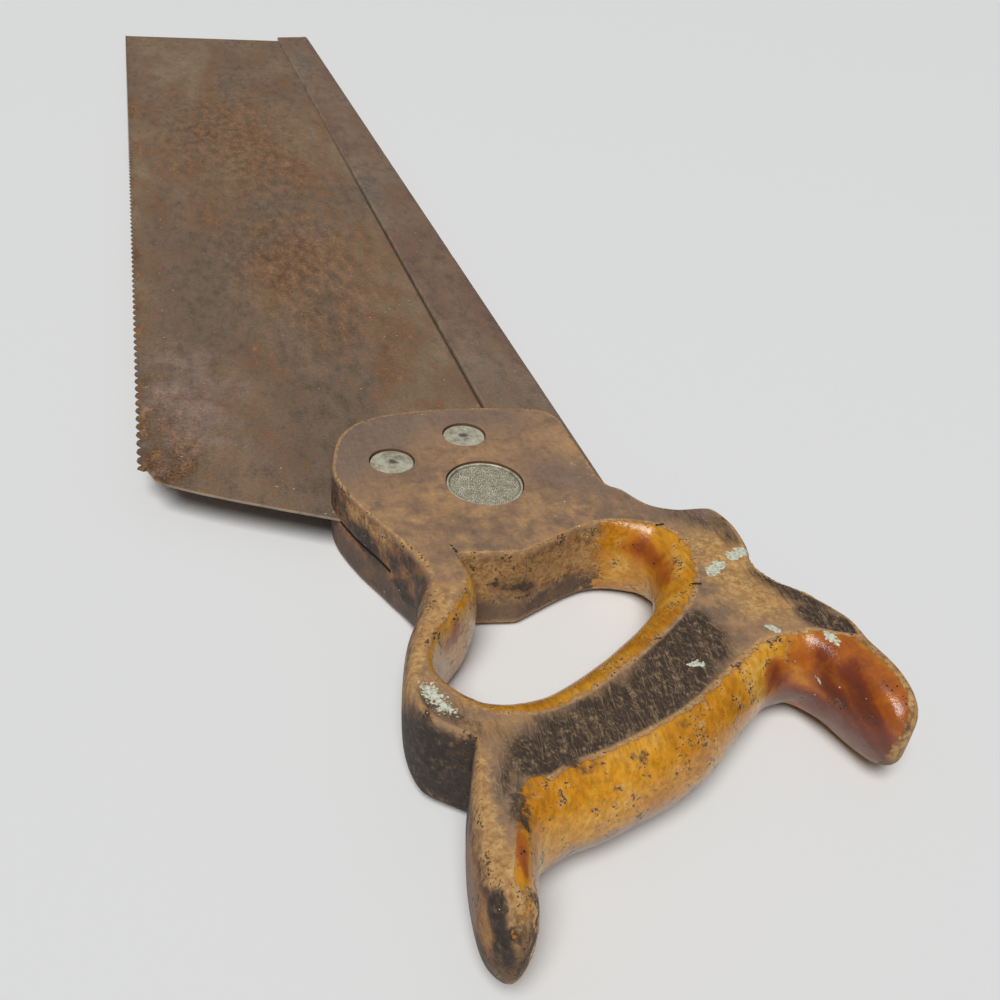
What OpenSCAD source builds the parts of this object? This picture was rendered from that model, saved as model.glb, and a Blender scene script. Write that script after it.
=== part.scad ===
/* [Blade] */
// Length of the toothed edge, heel to toe
blade_len = 609.6; // [400:0.1:700]
// Depth of the blade below the back
blade_depth = 114.6; // [90:0.1:140]
// Thickness of the blade
plate_thick = 0.9; // [0.7:0.05:1.4]
// Distance from the medallion's axis to the heel end of the toothed edge
heel_reach = 41; // [36:0.5:60]
// How far the heel slopes forward from the cheek to the teeth
heel_slope = 33.5; // [20:0.5:40]

/* [Teeth] */
// Distance from one tooth point to the next
tooth_pitch = 2.54; // [1.8:0.01:4.5]
// Depth of the gullets between the teeth
tooth_depth = 1.9; // [1.2:0.05:3]
// How far each point is bent out of the blade's side
tooth_set = 0.22; // [0:0.01:0.4]
// Bevel filed across each tooth, in degrees
tooth_fleam = 22; // [0:1:30]
// Lean of the points towards the toe, as part of the pitch
tooth_lean = 0.18; // [0:0.01:0.4]

/* [Back] */
// Width of the folded steel back, across the blade
back_width = 24.2; // [18:0.1:32]
// Thickness of the back at its fold
back_thick = 7.4; // [5:0.1:10]
// Thickness of the back where it grips the blade
back_edge_thick = 5; // [3.2:0.1:7]
// Distance from the medallion's axis to the lower edge of the back
back_offset = 18.4; // [14:0.1:24]
// How far the back runs past the toe of the blade
back_past_toe = 3; // [0:0.5:8]
// Depth of the blade inside the fold
blade_in_back = 19; // [10:0.5:20]

/* [Handle] */
// Thickness of the handle
handle_thick = 25.2; // [20:0.2:30]
// Length of the handle, from its front edge to the tip of the lower horn
handle_len = 182; // [168:1:200]
// Width of the saw cut that the blade sits in
kerf_width = 1.2; // [1:0.05:2]
// End of that cut, behind the medallion's axis
kerf_end = 20; // [14:0.5:24]
// End of the slot for the back, behind the medallion's axis
mortise_end = 7; // [3:0.5:9]

/* [Saw screws] */
// Diameter of the small screws' heads and nuts
small_head_d = 12.9; // [10:0.1:15]
// Diameter of the medallion screw's head
medallion_d = 22.3; // [19:0.1:25]
// Diameter of the medallion screw's nut
medallion_nut_d = 16; // [12:0.1:19]
// Diameter of the small screws' threads
small_shank_d = 4.6; // [3.6:0.1:6]
// Diameter of the medallion screw's thread
medallion_shank_d = 6; // [4.5:0.1:7]
// Thickness of the heads and the nuts' flanges
head_thick = 2.2; // [1.4:0.1:3.5]
// How far the heads lie below the wood
head_recess = 0.5; // [0.1:0.1:1]
// Width of the screwdriver slots
slot_width = 1.5; // [0.8:0.1:2]

/* [Hidden] */
$fn = 64;

half = handle_thick / 2;
handle_size = handle_len / 182;
wood_gap = 0.5;
metal_gap = 0.1;

// Places of the two small screws, from the medallion's axis
SMALL_AT = handle_size * [[1, 26.8], [-24.1, 15.5]];

tip_x = back_offset - blade_depth;
toe_y = heel_reach + blade_len;

// The blade's end in the handle, and the back's end in its slot
plate_end = kerf_end - 9;
back_end = mortise_end - wood_gap;
slot_half = plate_thick / 2 + metal_gap;
back_wall = back_edge_thick / 2 - slot_half;

// Depth of the seats for the heads and nuts
seat_depth = head_recess + head_thick;

// The bore round a screw takes the barrel of its nut and its square neck
function bore_d(shank_d) = shank_d + 3.6;
function barrel_d(shank_d) = bore_d(shank_d) - 4 * metal_gap;

function smooth_step(f) = 3 * f * f - 2 * f * f * f;

// The row at place i of a closed list of rows, where each turn round the list adds lap
function row_at(rows, i, lap) =
    let (n = len(rows), turn = floor(i / n))
    rows[i - n * turn] + turn * lap;

// Slope of the curve at a row. The last value of a row is its bend: 1 is smooth and 0 a corner
function row_slope(rows, i, lap) =
    let (row = row_at(rows, i, lap))
    row[len(row) - 1] / 2 * (row_at(rows, i + 1, lap) - row_at(rows, i - 1, lap));

// All values of the rows at place s on the smooth closed curve through them
function row_curve(rows, s, lap) =
    let (i = floor(s), f = s - i, g = 1 - f)
    row_at(rows, i, lap) * (1 - smooth_step(f))
    + row_at(rows, i + 1, lap) * smooth_step(f)
    + row_slope(rows, i, lap) * f * g * g
    - row_slope(rows, i + 1, lap) * f * f * g;

// Depths of the rounded edges: crisp on the cheeks, soft beside them, and full round at the grip
crisp = 2.5;
soft = 7;
full = half - 0.4;

// Fullness of a rounded edge: an arc of an ellipse, or leaner where the upper horn leaves the
// grip. The horn's end is fuller, up to 5, which keeps its outer wall straight
arc = 2;
lean = 1.3;

// Rim of the hand hole at mid-thickness: [x, y, width of its edge, depth of its edge, bend]
HOLE = [
    [-16.5, -31, 1, crisp, 0.3],
    [1.5, -33.3, 1, crisp, 0.3],
    [22, -26, 3, soft, 1],
    [33, -29, 8, full, 1],
    [38.3, -36, 9.5, full, 1],
    [35, -47, 10, full, 1],
    [26.5, -57.5, 10, full, 1],
    [8, -70.5, 10, full, 1],
    [-10, -78.8, 10, full, 1],
    [-23, -78, 8, full, 1],
    [-30, -70, 5, full, 1],
    [-27, -60, 4.5, full, 1],
    [-17, -48.5, 4.5, full, 1],
    [-13, -39, 4, full, 1]
];

// Outline at mid-thickness: [x, y, then where its edge meets the flat, edge depth, fullness,
// place on HOLE, bend]
OUTLINE = [
    [-42, 11, -41, 9.5, crisp, arc, 0.25, 1],
    [-40.6, 22, -39.5, 20.5, crisp, arc, 0.4, 1],
    [-36.5, 33.5, -35.5, 31.5, crisp, arc, 0.5, 1],
    [-28, 41, -27.5, 39, crisp, arc, 0.65, 1],
    [-14, 44.2, -13.5, 42, crisp, arc, 0.85, 1],
    [3, 44, 3, 42, crisp, arc, 1, 1],
    [18, 42, 17.5, 40, crisp, arc, 1.3, 1],
    [28.5, 40, 28, 38, crisp, arc, 1.5, 1],
    [34, 34, 33, 31.5, crisp, arc, 1.6, 1],
    [34.6, 20, 33.5, 17, crisp, arc, 1.7, 1],
    [35.2, 0, 33.5, -2.5, crisp, arc, 1.9, 1],
    [36.5, -6.5, 35.5, -8, crisp, arc, 2.05, 0.5],
    [39.5, -9, 38, -10.5, crisp, arc, 2.15, 0.7],
    [44.3, -17.5, 42.5, -18.5, crisp, arc, 2.5, 1],
    [52, -22, 50, -22.5, crisp, arc, 2.9, 1],
    [62, -23.5, 60, -24, crisp, arc, 3.3, 0.7],
    [64.5, -31, 62.5, -31, crisp, arc, 3.6, 1],
    [63.8, -41, 62, -40.5, crisp, arc, 4, 1],
    [61, -48.5, 59, -47.5, crisp, arc, 4.3, 0.2],
    [63.5, -57, 61.5, -56, crisp, arc, 4.6, 1],
    [70, -64.5, 67.5, -63, crisp, arc, 4.8, 1],
    [76.3, -74, 73.8, -73.6, soft, arc, 5, 1],
    [77.3, -86, 73.6, -80, full, 3, 5.1, 1],
    [78.2, -97, 72.8, -80.2, full, 5, 5.15, 1],
    [76.4, -104.5, 71.2, -79.7, full, 4.5, 5.2, 0.8],
    [70.8, -107, 68.3, -78.3, full, 2.7, 5.25, 0.8],
    [68, -102.5, 66.3, -77.2, full, 1.7, 5.3, 1],
    [65.2, -94, 63.6, -76, full, 1.5, 5.4, 1],
    [61.5, -85, 58, -75.5, full, lean, 5.6, 1],
    [53, -82.5, 49, -76.5, full, arc, 5.8, 1],
    [42, -89.5, 38.5, -82.5, full, arc, 6.1, 1],
    [22, -103.5, 19, -94, full, arc, 6.8, 1],
    [0, -111, -1, -101, full, arc, 7.6, 1],
    [-14, -114, -13.5, -104, full, arc, 8.2, 1],
    [-22, -118, -24, -110.5, full, arc, 8.3, 1],
    [-25, -126, -28, -119, full, arc, 8.38, 1],
    [-27.5, -133, -30.5, -125, full, arc, 8.44, 1],
    [-33, -137.5, -33, -127, full, arc, 8.5, 1],
    [-37.2, -131, -34, -124, full, arc, 8.56, 1],
    [-36.4, -117, -33.5, -115.5, full, arc, 8.62, 1],
    [-32.6, -103, -31, -103.5, soft, arc, 8.75, 1],
    [-29, -92.5, -28.2, -92.3, crisp, arc, 9.2, 0],
    [-33.5, -89.5, -33, -88, crisp, arc, 9.55, 1],
    [-38.2, -84.5, -37, -83, crisp, arc, 9.85, 1],
    [-40, -76, -38, -74.5, soft, arc, 10.1, 1],
    [-38.6, -66, -35.5, -65.5, full, arc, 10.6, 1],
    [-34.8, -54, -30, -54, full, arc, 11.5, 1],
    [-30, -44, -25, -44, full, arc, 12.4, 1],
    [-28, -32, -25, -32.5, soft, arc, 13.4, 1],
    [-32.7, -17, -31, -18.5, crisp, arc, 13.8, 1],
    [-38.5, -3, -37, -5, crisp, arc, 14.05, 1]
];

// Steps along each span of OUTLINE, and round each quarter of a rounded edge
span_steps = 3;
edge_steps = 4;

// One quarter of a section's edge, from the wall at mid-thickness up to its foot on the flat
function edge_quarter(wall, foot, depth, fullness) = [
    for (k = [0:edge_steps])
        let (
            a = 90 * k / edge_steps,
            p = foot + (wall - foot) * pow(cos(a), 2 / fullness)
        )
        [p[0], p[1], half - depth * (1 - pow(sin(a), 2 / fullness))]
];

function mirrored(points) = [for (p = points) [p[0], p[1], -p[2]]];

function reversed(points) = [for (k = [len(points) - 1:-1:0]) points[k]];

// The closed section across the handle at place s on OUTLINE
function handle_section(s) =
    let (
        out = row_curve(OUTLINE, s, [0, 0, 0, 0, 0, 0, len(HOLE), 0]),
        rim = row_curve(HOLE, out[6], [0, 0, 0, 0, 0]),
        wall = handle_size * [out[0], out[1]],
        foot = handle_size * [out[2], out[3]],
        rim_wall = handle_size * [rim[0], rim[1]],
        rim_foot = rim_wall + rim[2] * (foot - rim_wall) / norm(foot - rim_wall),
        outer = edge_quarter(wall, foot, out[4], out[5]),
        inner = edge_quarter(rim_wall, rim_foot, rim[3], arc)
    )
    concat(outer, reversed(inner), mirrored(inner), reversed(mirrored(outer)));

// A closed ring through sections with equal numbers of points
module ring_loft(sections) {
    n = len(sections);
    m = len(sections[0]);
    polyhedron(
        points = [for (section = sections) each section],
        faces = [
            for (j = [0:n - 1], i = [0:m - 1])
                let (
                    a = j * m + i,
                    b = j * m + (i + 1) % m,
                    c = (j + 1) % n * m + (i + 1) % m,
                    d = (j + 1) % n * m + i
                )
                each [[a, c, b], [a, d, c]]
        ]
    );
}

SECTIONS = [
    for (s = [0:1 / span_steps:len(OUTLINE) - 0.5 / span_steps]) handle_section(s)
];

// Middle of the whole part's box, seen from above. The lower face of the handle is z = 0
far_x = max([for (section = SECTIONS, p = section) p[0]]);
near_y = min([for (section = SECTIONS, p = section) p[1]]);
mid_x = (tip_x + far_x) / 2;
mid_y = (near_y + toe_y + back_past_toe) / 2;

// The pieces are drawn about the medallion's axis and placed over the middle of that box
module placed() {
    translate([-mid_x, -mid_y, 0])
        children();
}

// A bore right through the handle, with a seat for the head above and one for the nut below
module screw_seat(head_d, nut_d, shank_d) {
    translate([0, 0, -1])
        cylinder(d = bore_d(shank_d), h = handle_thick + 2);
    translate([0, 0, handle_thick - seat_depth])
        cylinder(d = head_d + 2 * wood_gap, h = seat_depth + 1);
    translate([0, 0, -1])
        cylinder(d = nut_d + 2 * wood_gap, h = seat_depth + 1);
}

module handle() {
    color("sienna")
        placed()
            difference() {
                translate([0, 0, half])
                    ring_loft(SECTIONS);
                // Saw cut for the blade
                translate([-80, -kerf_end, half - kerf_width / 2])
                    cube([80 + back_offset, 200, kerf_width]);
                // Slot for the back, open along the cheek's edge
                translate([back_offset - wood_gap, -mortise_end, half - back_thick / 2 - metal_gap])
                    cube([80, 200, back_thick + 2 * metal_gap]);
                for (at = SMALL_AT)
                    translate(at)
                        screw_seat(small_head_d, small_head_d, small_shank_d);
                screw_seat(medallion_d, medallion_nut_d, medallion_shank_d);
            }
}

// Point at f, from 0 to 1, on a curve with four control points
function bezier(p, f) =
    let (g = 1 - f)
    g * g * g * p[0] + 3 * g * g * f * p[1] + 3 * g * f * f * p[2] + f * f * f * p[3];

root_x = tip_x + tooth_depth;
cheek_x = -44.4 * handle_size;
cheek_y = heel_reach - heel_slope;

// Heel edge of the blade, from the first tooth to the cheek
HEEL = [
    [tip_x, heel_reach],
    [tip_x + 0.02 * (cheek_x - tip_x), heel_reach - 0.2 * heel_slope],
    [tip_x + 0.35 * (cheek_x - tip_x), heel_reach - 0.49 * heel_slope],
    [cheek_x, cheek_y]
];

module plate_outline() {
    polygon([
        [root_x + 0.2, toe_y],
        [root_x + 0.2, heel_reach],
        for (f = [0.2:0.1:1]) bezier(HEEL, f),
        [-8, -plate_end],
        [back_offset - wood_gap, -plate_end],
        [back_offset - wood_gap, 1 - back_end],
        [back_offset + blade_in_back, 1 - back_end],
        [back_offset + blade_in_back, toe_y]
    ]);
}

// The toothed edge: each gullet is filed at the fleam angle from the other side than the one
// before, so the points lie on alternate sides, and each point is bent out by the set
module teeth() {
    count = floor(blade_len / tooth_pitch);
    t = plate_thick / 2;
    skew = t * tan(tooth_fleam);
    short = 1 - (tooth_pitch - 2 * skew) / (tooth_pitch + 2 * skew);
    base_x = root_x + 1;
    polyhedron(
        points = [
            for (j = [0:count])
                let (
                    y = toe_y - (count - j) * tooth_pitch,
                    side = j % 2 * 2 - 1,
                    point_y = y + (0.5 + tooth_lean) * tooth_pitch,
                    bend = side * tooth_set,
                    high = tip_x,
                    low = tip_x + short * tooth_depth
                )
                each [
                    [root_x, y - side * skew, t],
                    [root_x, y + side * skew, -t],
                    [base_x, y, t],
                    [base_x, y, -t],
                    [side > 0 ? high : low, min(point_y, toe_y), t + bend],
                    [side > 0 ? low : high, min(point_y, toe_y), bend - t]
                ]
        ],
        faces = [
            for (j = [0:count - 1])
                let (a = 6 * j, b = a + 6)
                each [
                    [a, a + 4, b],
                    [a + 1, b + 1, a + 5],
                    [a, a + 1, a + 5],
                    [a, a + 5, a + 4],
                    [b, a + 4, a + 5],
                    [b, a + 5, b + 1],
                    [a, b, b + 2],
                    [a, b + 2, a + 2],
                    [a + 1, a + 3, b + 3],
                    [a + 1, b + 3, b + 1],
                    [a + 2, b + 2, b + 3],
                    [a + 2, b + 3, a + 3]
                ],
            [0, 2, 3],
            [0, 3, 1],
            [6 * count, 6 * count + 3, 6 * count + 2],
            [6 * count, 6 * count + 1, 6 * count + 3]
        ]
    );
}

module saw_plate() {
    color("dimgray")
        placed()
            translate([0, 0, half])
                difference() {
                    union() {
                        translate([0, 0, -plate_thick / 2])
                            linear_extrude(height = plate_thick)
                                plate_outline();
                        teeth();
                    }
                    for (at = SMALL_AT)
                        translate([at[0], at[1], -plate_thick])
                            cylinder(d = bore_d(small_shank_d), h = 2 * plate_thick);
                    translate([0, 0, -plate_thick])
                        cylinder(d = bore_d(medallion_shank_d), h = 2 * plate_thick);
                }
}

// Section of the folded back: x is the distance from its lower edge, y the side
module back_profile() {
    lip = 0.6;
    round = back_thick / 2 - 0.8;
    difference() {
        hull()
            for (side = [-1, 1]) {
                translate([lip, side * (back_edge_thick / 2 - lip)])
                    circle(r = lip);
                translate([back_width - round, side * (back_thick / 2 - round)])
                    circle(r = round);
            }
        polygon([
            [-1, -slot_half],
            [back_width - round - back_wall, back_wall - back_thick / 2],
            [back_width - back_wall, back_wall - back_thick / 2 + round / 2],
            [back_width - back_wall, back_thick / 2 - back_wall - round / 2],
            [back_width - round - back_wall, back_thick / 2 - back_wall],
            [-1, slot_half]
        ]);
    }
}

module steel_back() {
    color("gray")
        placed()
            translate([back_offset, toe_y + back_past_toe, half])
                rotate([90, 0, 0])
                    linear_extrude(height = toe_y + back_past_toe + back_end)
                        back_profile();
}

crown = 0.3;
slot_depth = 1.2;

// A slightly domed disc standing on z = 0, by its diameter and the height of its side
module domed_disc(d, h) {
    rotate_extrude()
        polygon([
            [0, 0],
            [d / 2, 0],
            [d / 2, h - 0.3],
            [d / 2 - 0.3, h],
            for (f = [0.75:-0.25:0]) [f * d / 2, h + crown * (1 - f * f)]
        ]);
}

// Square neck and thread under a head whose underside is at z = 0
module neck_and_thread(shank_d) {
    side = barrel_d(shank_d) / sqrt(2);
    neck = half - seat_depth - 1.5;
    reach = handle_thick - seat_depth - head_recess - slot_depth - 0.2;
    translate([-side / 2, -side / 2, -neck])
        cube([side, side, neck + 0.1]);
    translate([0, 0, -reach])
        cylinder(d = shank_d, h = reach + 0.1);
}

// Slotted nut: its flange lies in the lower seat, its barrel runs up through the blade
module split_nut(nut_d, shank_d) {
    difference() {
        union() {
            translate([0, 0, seat_depth])
                mirror([0, 0, 1])
                    domed_disc(nut_d, head_thick);
            translate([0, 0, seat_depth - 0.1])
                cylinder(d = barrel_d(shank_d), h = half - seat_depth + 1.1);
        }
        translate([0, 0, -1])
            cylinder(d = shank_d + 2 * metal_gap, h = handle_thick);
        translate([-nut_d, -slot_width / 2, -1])
            cube([2 * nut_d, slot_width, head_recess + slot_depth + 1]);
    }
}

module small_screws() {
    color("silver")
        placed()
            for (at = SMALL_AT)
                translate([at[0], at[1], handle_thick - seat_depth]) {
                    domed_disc(small_head_d, head_thick);
                    neck_and_thread(small_shank_d);
                }
}

module small_nuts() {
    color("silver")
        placed()
            for (k = [0, 1])
                translate(SMALL_AT[k])
                    rotate([0, 0, 35 + 70 * k])
                        split_nut(small_head_d, small_shank_d);
}

disc_d = medallion_d - 1.6;
disc_thick = 0.9;
disc_depth = 1.2;

// Cupped head with a thin rim round the seat of the medallion disc
module medallion_screw() {
    rim = medallion_d / 2;
    cup = disc_d / 2 + metal_gap;
    color("silver")
        placed()
            translate([0, 0, handle_thick - seat_depth]) {
                rotate_extrude()
                    polygon([
                        [0, 0],
                        [rim, 0],
                        [rim, head_thick - 0.2],
                        [rim - 0.2, head_thick],
                        [cup + 0.1, head_thick],
                        [cup, head_thick - 0.1],
                        [cup, head_thick - disc_depth],
                        [0, head_thick - disc_depth]
                    ]);
                neck_and_thread(medallion_shank_d);
            }
}

module medallion_disc() {
    color("lightgray")
        placed()
            translate([0, 0, handle_thick - head_recess - disc_depth])
                domed_disc(disc_d, disc_thick);
}

module medallion_nut() {
    color("silver")
        placed()
            rotate([0, 0, 80])
                split_nut(medallion_nut_d, medallion_shank_d);
}

handle();
saw_plate();
steel_back();
small_screws();
small_nuts();
medallion_screw();
medallion_disc();
medallion_nut();
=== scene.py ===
import math
from functools import partial

import bmesh
import bpy
import numpy as np
from mathutils import Matrix, Vector, noise
from mathutils.kdtree import KDTree


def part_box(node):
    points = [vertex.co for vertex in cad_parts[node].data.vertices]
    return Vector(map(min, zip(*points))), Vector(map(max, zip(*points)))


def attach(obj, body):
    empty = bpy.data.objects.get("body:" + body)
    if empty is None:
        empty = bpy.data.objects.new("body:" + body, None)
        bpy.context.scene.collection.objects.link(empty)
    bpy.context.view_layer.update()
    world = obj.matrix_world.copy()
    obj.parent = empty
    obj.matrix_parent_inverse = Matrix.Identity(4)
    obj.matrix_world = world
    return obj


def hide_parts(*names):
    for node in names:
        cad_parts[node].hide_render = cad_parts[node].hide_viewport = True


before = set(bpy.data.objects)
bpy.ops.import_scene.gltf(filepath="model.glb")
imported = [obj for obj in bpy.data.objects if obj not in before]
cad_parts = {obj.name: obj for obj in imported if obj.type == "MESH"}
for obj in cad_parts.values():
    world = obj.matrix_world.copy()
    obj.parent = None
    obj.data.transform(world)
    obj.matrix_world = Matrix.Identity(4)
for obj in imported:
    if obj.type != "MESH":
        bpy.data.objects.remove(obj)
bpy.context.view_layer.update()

# SAW PLATE
# A sheet of hardened spring steel, rolled and ground to 0.9 mm. The heel is cut to a sloping
# curve that runs into the handle's saw cut, and the far edge is pinched in the folded back.
MM = 0.001
disc_low, disc_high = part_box("medallion_disc")
axis = (disc_low + disc_high) / 2
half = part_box("handle")[1].z / MM / 2


def placed(points):
    """Points in mm from the medallion's axis and the saw's middle plane, in the frame's metres."""
    return np.asarray(points, float) * MM + np.array([axis.x, axis.y, half * MM])


def shown(name, data):
    """A new object in the scene with that mesh, light or camera."""
    thing = bpy.data.objects.new(name, data)
    bpy.context.scene.collection.objects.link(thing)
    return thing


def new_piece(name, points, faces):
    """A mesh object from points in mm and faces."""
    mesh = bpy.data.meshes.new(name)
    mesh.from_pydata(placed(points).tolist(), [], faces)
    mesh.update()
    return shown(name, mesh)


def modifiers_applied(piece):
    """Makes the piece's modifiers part of its mesh."""
    graph = bpy.context.evaluated_depsgraph_get()
    mesh = bpy.data.meshes.new_from_object(piece.evaluated_get(graph), depsgraph=graph)
    piece.modifiers.clear()
    piece.data = mesh


def mark(piece, name, values):
    """Keeps one number for each of the piece's points, which its material can read."""
    layer = piece.data.attributes.new(name, "FLOAT", "POINT")
    layer.data.foreach_set("value", np.asarray(values, np.float32).ravel())


def cut(piece, points, faces, material=None):
    """Cuts the closed solid with those points in mm and faces out of the piece. The cut faces
    get the material, if there is one."""
    cutter = new_piece("cutter", points, faces)
    tool = piece.modifiers.new("cut", "BOOLEAN")
    tool.operation, tool.solver, tool.object = "DIFFERENCE", "EXACT", cutter
    if material:
        cutter.data.materials.append(material)
        tool.material_mode = "TRANSFER"
    modifiers_applied(piece)
    bpy.data.objects.remove(cutter)


def bands(around, count, closed=False):
    """Faces between each of count rings of that many points and the next ring."""
    return [(r * around + k, (r + 1) % count * around + k,
             (r + 1) % count * around + (k + 1) % around, r * around + (k + 1) % around)
            for r in range(count - (not closed)) for k in range(around)]


def turned(profile, sides, centre=(0, 0)):
    """Points and faces of a closed solid turned about the vertical at centre. The profile's
    (radius, height) pairs in mm start and end on that vertical."""
    rings = profile[1:-1]
    points = [(*centre, profile[0][1])]
    for radius, height in rings:
        for k in range(sides):
            a = 2 * math.pi * k / sides
            points.append((centre[0] + radius * math.cos(a), centre[1] + radius * math.sin(a),
                           height))
    points.append((*centre, profile[-1][1]))
    last = len(points) - 1
    faces = []
    for k in range(sides):
        n = (k + 1) % sides
        faces.append((0, 1 + n, 1 + k))
        for r in range(len(rings) - 1):
            a = 1 + r * sides
            faces.append((a + k, a + n, a + sides + n, a + sides + k))
        a = last - sides
        faces.append((a + k, a + n, last))
    return points, faces


def peg(width, low, high, sides, centre=(0, 0)):
    """Points and faces of an upright cylinder between two heights."""
    return turned([(0, low), (width / 2, low), (width / 2, high), (0, high)], sides, centre)


def finished(piece, material, cad_node):
    """Gives the piece its material and shading, and puts it in the frame in a CAD node's place."""
    if material.name not in piece.data.materials:
        piece.data.materials.clear()
        piece.data.materials.append(material)
    piece.data.shade_smooth()
    piece.data.set_sharp_from_angle(angle=math.radians(30))
    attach(piece, "root")
    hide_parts(cad_node)


def colour(hex_value):
    """An sRGB hex colour as linear red, green, blue and alpha."""
    parts = [int(hex_value[i:i + 2], 16) / 255 for i in (1, 3, 5)]
    return [p / 12.92 if p <= 0.04045 else ((p + 0.055) / 1.055) ** 2.4 for p in parts] + [1]


def add(tree, kind, *values, named=None, stops=(), **settings):
    """Adds a node, a shader node where its kind doesn't say Node. Its open sockets take the
    values in their order and the named ones by name: numbers, colours, nodes or their outputs.
    stops gives a colour ramp its (place, colour) pairs."""
    node = tree.nodes.new(kind if "Node" in kind else "ShaderNode" + kind)
    for name, value in settings.items():
        setattr(node, name, value)
    for i, (place, hex_value) in enumerate(stops):
        ramp = node.color_ramp.elements
        stop = ramp[i] if i < 2 else ramp.new(place)
        stop.position, stop.color = place, colour(hex_value)
    sockets = [s for s in node.inputs if s.enabled]
    by_name = [(next(s for s in sockets if s.name == name), value)
               for name, value in (named or {}).items()]
    for socket, value in [*zip(sockets, values), *by_name]:
        if isinstance(value, bpy.types.Node):
            value = next(s for s in value.outputs if s.enabled)
        if isinstance(value, bpy.types.NodeSocket):
            tree.links.new(value, socket)
        else:
            socket.default_value = colour(value) if isinstance(value, str) else value
    return node


def new_material(name):
    """An empty material, and what adds its nodes."""
    material = bpy.data.materials.new(name)
    material.use_nodes = True
    material.node_tree.nodes.clear()
    return material, partial(add, material.node_tree)


BLADE_LEN = 609.6
HEEL_REACH = 41.0
TOOTH_DEPTH = 1.9
STRIP = 1.0
PLATE_THICK = 0.9
ARRIS = 0.12
CHEEK = (-44.4, 7.5)
PLATE_TAIL = (-8, -11)

back_low, back_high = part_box("steel_back")
tip_x = (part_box("saw_plate")[0].x - axis.x) / MM
root_x = tip_x + TOOTH_DEPTH
strip_x = root_x + STRIP
toe_y = HEEL_REACH + BLADE_LEN
back_x = (back_low.x - axis.x) / MM
back_end = (back_low.y - axis.y) / MM
tail_x = back_x - 0.5
pinched_x = back_x + 19


def bezier(p, f):
    """The point at f, 0 to 1, on the curve with those four handles."""
    g = 1 - f
    return tuple(g**3 * a + 3 * g * g * f * b + 3 * g * f * f * c + f**3 * d
                 for a, b, c, d in zip(*p))


reach = CHEEK[0] - tip_x
drop = HEEL_REACH - CHEEK[1]
HEEL = [
    (tip_x, HEEL_REACH),
    (tip_x + 0.02 * reach, HEEL_REACH - 0.2 * drop),
    (tip_x + 0.35 * reach, HEEL_REACH - 0.49 * drop),
    CHEEK,
]
heel_line = [bezier(HEEL, f) for f in np.linspace(0.3, 1, 29)]
plate_outline = [
    (strip_x, toe_y),
    (strip_x, HEEL_REACH),
    *[p for p in heel_line if p[0] > strip_x + 0.3],
    PLATE_TAIL,
    (tail_x, PLATE_TAIL[1]),
    (tail_x, back_end + 1),
    (pinched_x, back_end + 1),
    (pinched_x, toe_y),
]


def inset(outline, distance):
    """The closed outline moved inwards by that distance, apart from the toothed edge."""
    loop = [Vector(p) for p in outline]
    moved = []
    for k, p in enumerate(loop):
        before = (p - loop[k - 1]).normalized()
        after = (loop[(k + 1) % len(loop)] - p).normalized()
        bisector = Vector((-before.y - after.y, before.x + after.x))
        bisector = bisector.normalized() / max(0.5, bisector.length / 2)
        step = bisector * distance
        moved.append((p.x if k < 2 else p.x + step.x, p.y + step.y))
    return moved


inner = inset(plate_outline, ARRIS)
face = PLATE_THICK / 2
around = len(plate_outline)
levels = [(inner, face), (plate_outline, face - ARRIS), (plate_outline, ARRIS - face),
          (inner, -face)]
plate = new_piece(
    "saw_plate_body",
    [(x, y, z) for outline, z in levels for x, y in outline],
    [tuple(range(around)), tuple(range(4 * around - 1, 3 * around - 1, -1)),
     *bands(around, len(levels))],
)
mark(plate, "arris", [a in (1, 2) for a in range(4) for _ in plate_outline])
SMALL_AT = [(1, 26.8), (-24.1, 15.5)]
SMALL_BORE = 8.2
MEDALLION_BORE = 9.6
bores = [*[(centre, SMALL_BORE) for centre in SMALL_AT], ((0, 0), MEDALLION_BORE)]
for centre, bore in bores:
    cut(plate, *peg(bore, -2, 2, 48, centre))


def seen(node, where, texture, low, high, most=1.0):
    """How strongly a mark shows: not at all where its place and a texture add up to low, and as
    much as most where they add up to high."""
    return node("MapRange", node("Math", where, texture), low, high, 0.0, most)


def laid(node, base, paint, where, texture, low, high, most=1.0):
    """A colour laid on another where such a mark is seen."""
    amount = seen(node, where, texture, low, high, most)
    return node("Mix", amount, base, paint, data_type="RGBA")


def specks(node, where, scale, size, past):
    """Round specks in the few cells whose own random number is past the given one."""
    cells = node("TexVoronoi", where, scale)
    small = node("Math", cells, size, operation="LESS_THAN")
    chance = node("SeparateColor", cells.outputs["Color"])
    rare = node("Math", chance, past, operation="GREATER_THAN")
    return node("Math", small, rare, operation="MULTIPLY")


def surfaced(node, base, metallic, roughness, relief, depth):
    """Ends a material with its surface, whose fine relief is that deep in metres."""
    bump = node("Bump", named={"Height": relief, "Strength": 1.0, "Distance": depth})
    node("OutputMaterial", node("BsdfPrincipled", named={
        "Base Color": base, "Metallic": metallic, "Roughness": roughness, "Normal": bump}))


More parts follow.
